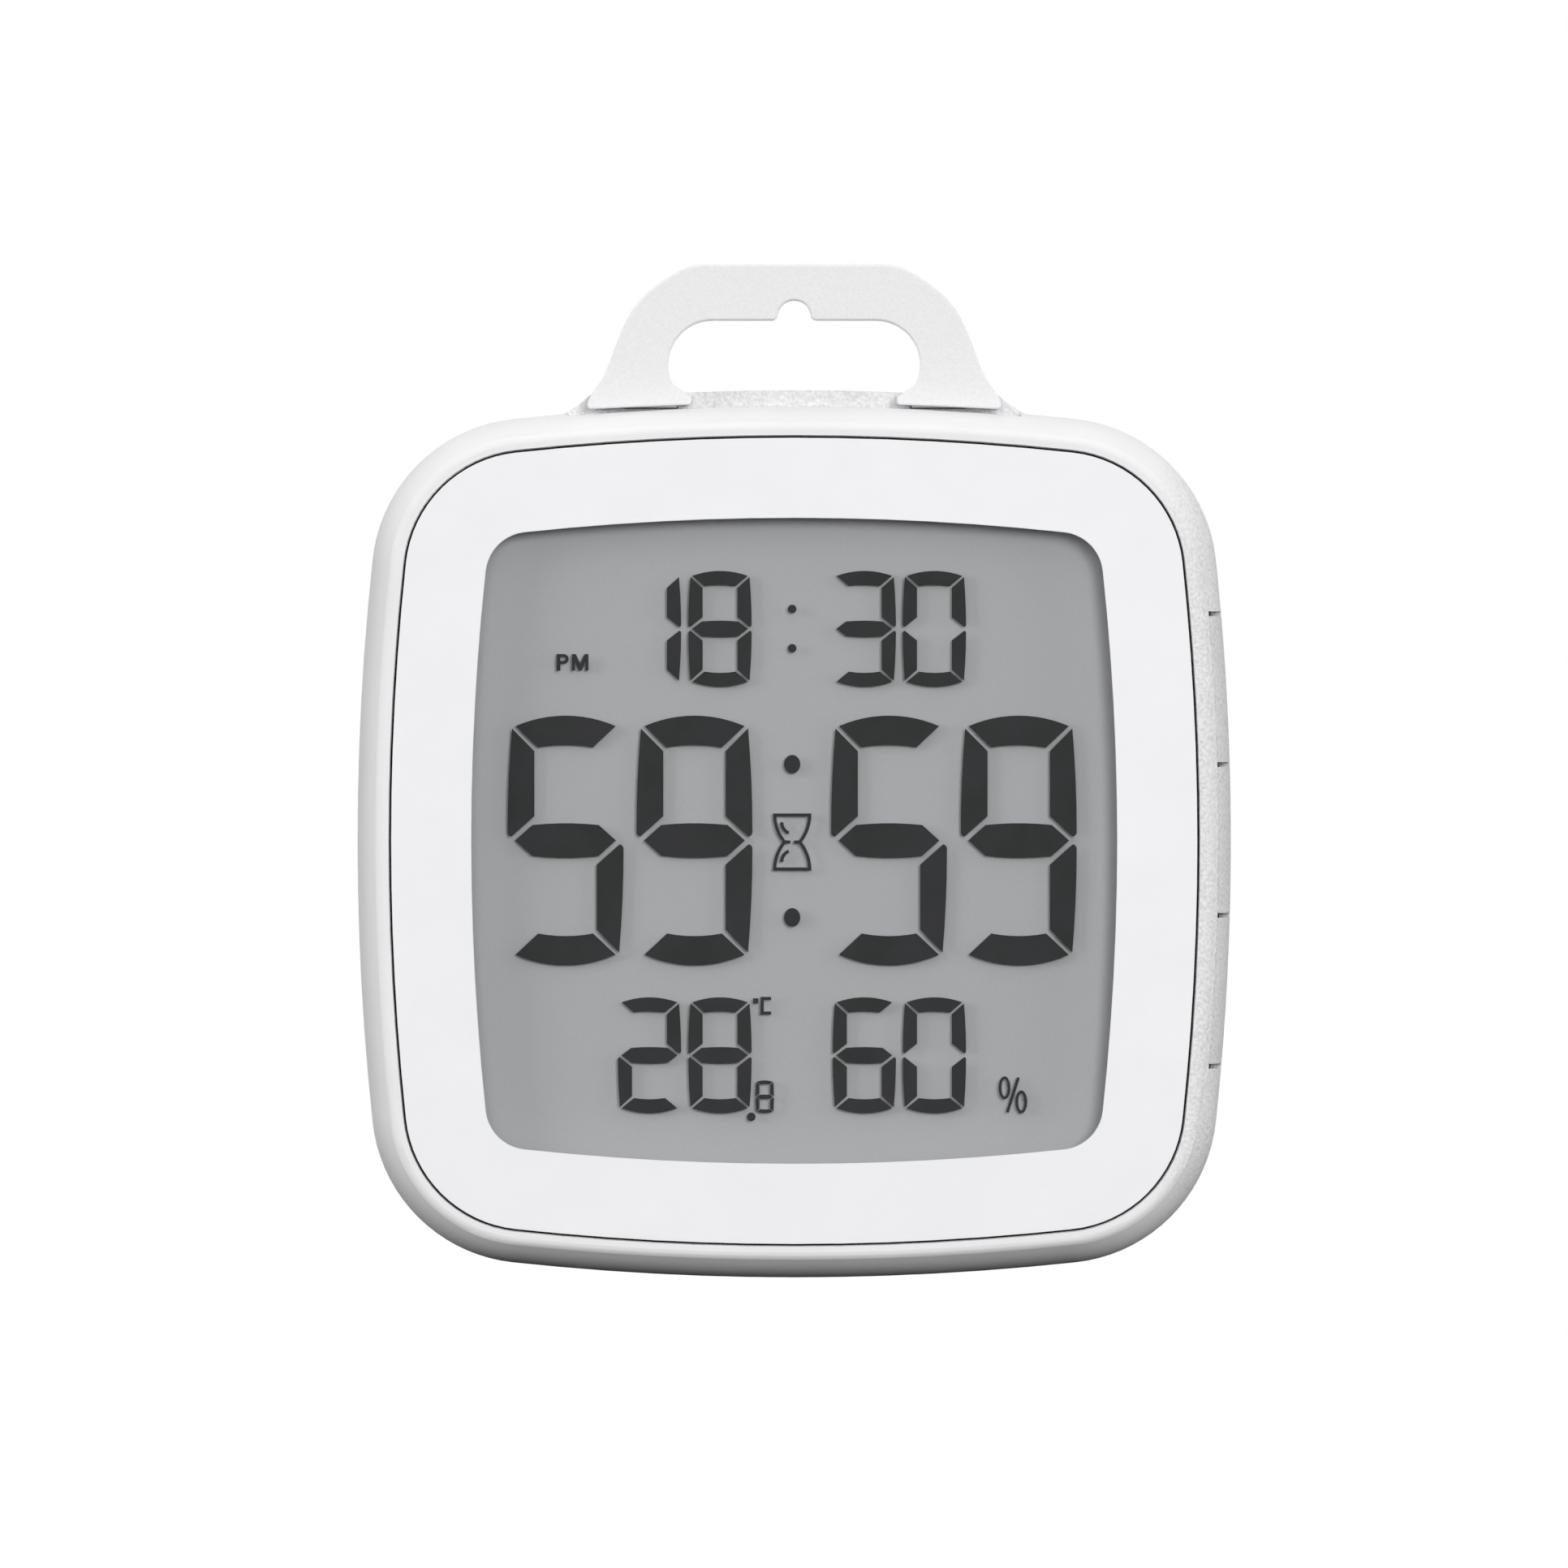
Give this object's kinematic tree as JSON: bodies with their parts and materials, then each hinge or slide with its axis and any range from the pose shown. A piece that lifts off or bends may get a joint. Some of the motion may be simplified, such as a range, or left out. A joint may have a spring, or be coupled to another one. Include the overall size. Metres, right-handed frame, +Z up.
{
  "type": "digital thermometer hygrometer clock",
  "caption": "White square clock with a large segment display for time, temperature and humidity, a hanging handle, side keys, battery door, folding stand and suction cups.",
  "frame": {"origin": "centre of the hook notch's arc in the hanging handle, at mid thickness of the handle plate", "axes": "+X to the right seen from the front, +Y to the back, +Z up; the display faces -Y"},
  "size_m": [0.1079, 0.0281, 0.1251],
  "materials": {
    "white_housing": "satin",
    "white_panel": "satin, printed white",
    "white_rear": "fine spark-eroded grain",
    "white_handle": "very fine grain",
    "black_foam": "matte",
    "clear_pane": "clear",
    "display_glass": "clear",
    "display_ink": "dark",
    "grey_reflector": "fine silver grey",
    "grey_plastic": "matte",
    "pink_rubber": "matte",
    "green_board": "solder mask",
    "black_epoxy": "semi gloss",
    "tin_can": "bright",
    "sensor_white": "satin",
    "switch_black": "matte",
    "plunger_white": "matte",
    "screw_steel": "zinc plated",
    "grey_seal": "matte",
    "cell_wrap": "printed wrap",
    "contact_plate": "nickel plated",
    "pin_steel": "bright",
    "buzzer_brass": "bright",
    "cup_rubber": "translucent, soft gloss"
  },
  "bodies": {
    "clock": {"front_housing": "white_housing", "front_panel": "white_panel", "panel_tape": "black_foam", "window_pane": "clear_pane", "lcd_front_glass": "display_glass", "lcd_segments": "display_ink", "lcd_rear_glass": "display_glass", "lcd_reflector": "grey_reflector", "lcd_holder": "grey_plastic", "zebra_strip": "pink_rubber", "main_board": "green_board", "clock_chip": "black_epoxy", "quartz_crystal": "tin_can", "climate_sensor": "sensor_white", "side_switch_1": "switch_black", "side_switch_2": "switch_black", "side_switch_3": "switch_black", "case_screws": "screw_steel", "board_screws": "screw_steel", "handle_screws": "screw_steel", "housing_seal": "grey_seal", "rear_housing": "white_rear", "hanging_handle": "white_handle", "door_seal": "grey_seal", "battery_cell_1": "cell_wrap", "battery_cell_2": "cell_wrap", "link_contact": "contact_plate", "positive_terminal": "contact_plate", "negative_terminal": "contact_plate", "stand_pins": "pin_steel", "piezo_buzzer": "buzzer_brass", "suction_cup_left": "cup_rubber", "suction_cup_right": "cup_rubber"},
    "key_1": {"side_key_1": "white_rear", "switch_plunger_1": "plunger_white"},
    "key_2": {"side_key_2": "white_rear", "switch_plunger_2": "plunger_white"},
    "key_3": {"side_key_3": "white_rear", "switch_plunger_3": "plunger_white"},
    "door": {"battery_door": "white_rear"},
    "stand": {"rear_stand": "white_handle"}
  },
  "joints": [
    {"name": "key_1_press", "type": "slide", "parent": "clock", "child": "key_1", "axis": [-1, 0, 0], "range_m": [0, 0.0005], "stiffness_N_per_m": 800, "springref_m": -0.0003},
    {"name": "key_2_press", "type": "slide", "parent": "clock", "child": "key_2", "axis": [-1, 0, 0], "range_m": [0, 0.0005], "stiffness_N_per_m": 800, "springref_m": -0.0003},
    {"name": "key_3_press", "type": "slide", "parent": "clock", "child": "key_3", "axis": [-1, 0, 0], "range_m": [0, 0.0005], "stiffness_N_per_m": 800, "springref_m": -0.0003},
    {"name": "door_hinge", "type": "hinge", "parent": "clock", "child": "door", "pos_m": [0, 0.016, -0.07155], "axis": [1, 0, 0], "range_deg": [0, 75]},
    {"name": "stand_hinge", "type": "hinge", "parent": "clock", "child": "stand", "pos_m": [0, 0.0157, -0.06565], "axis": [1, 0, 0], "range_deg": [0, 55]}
  ]
}
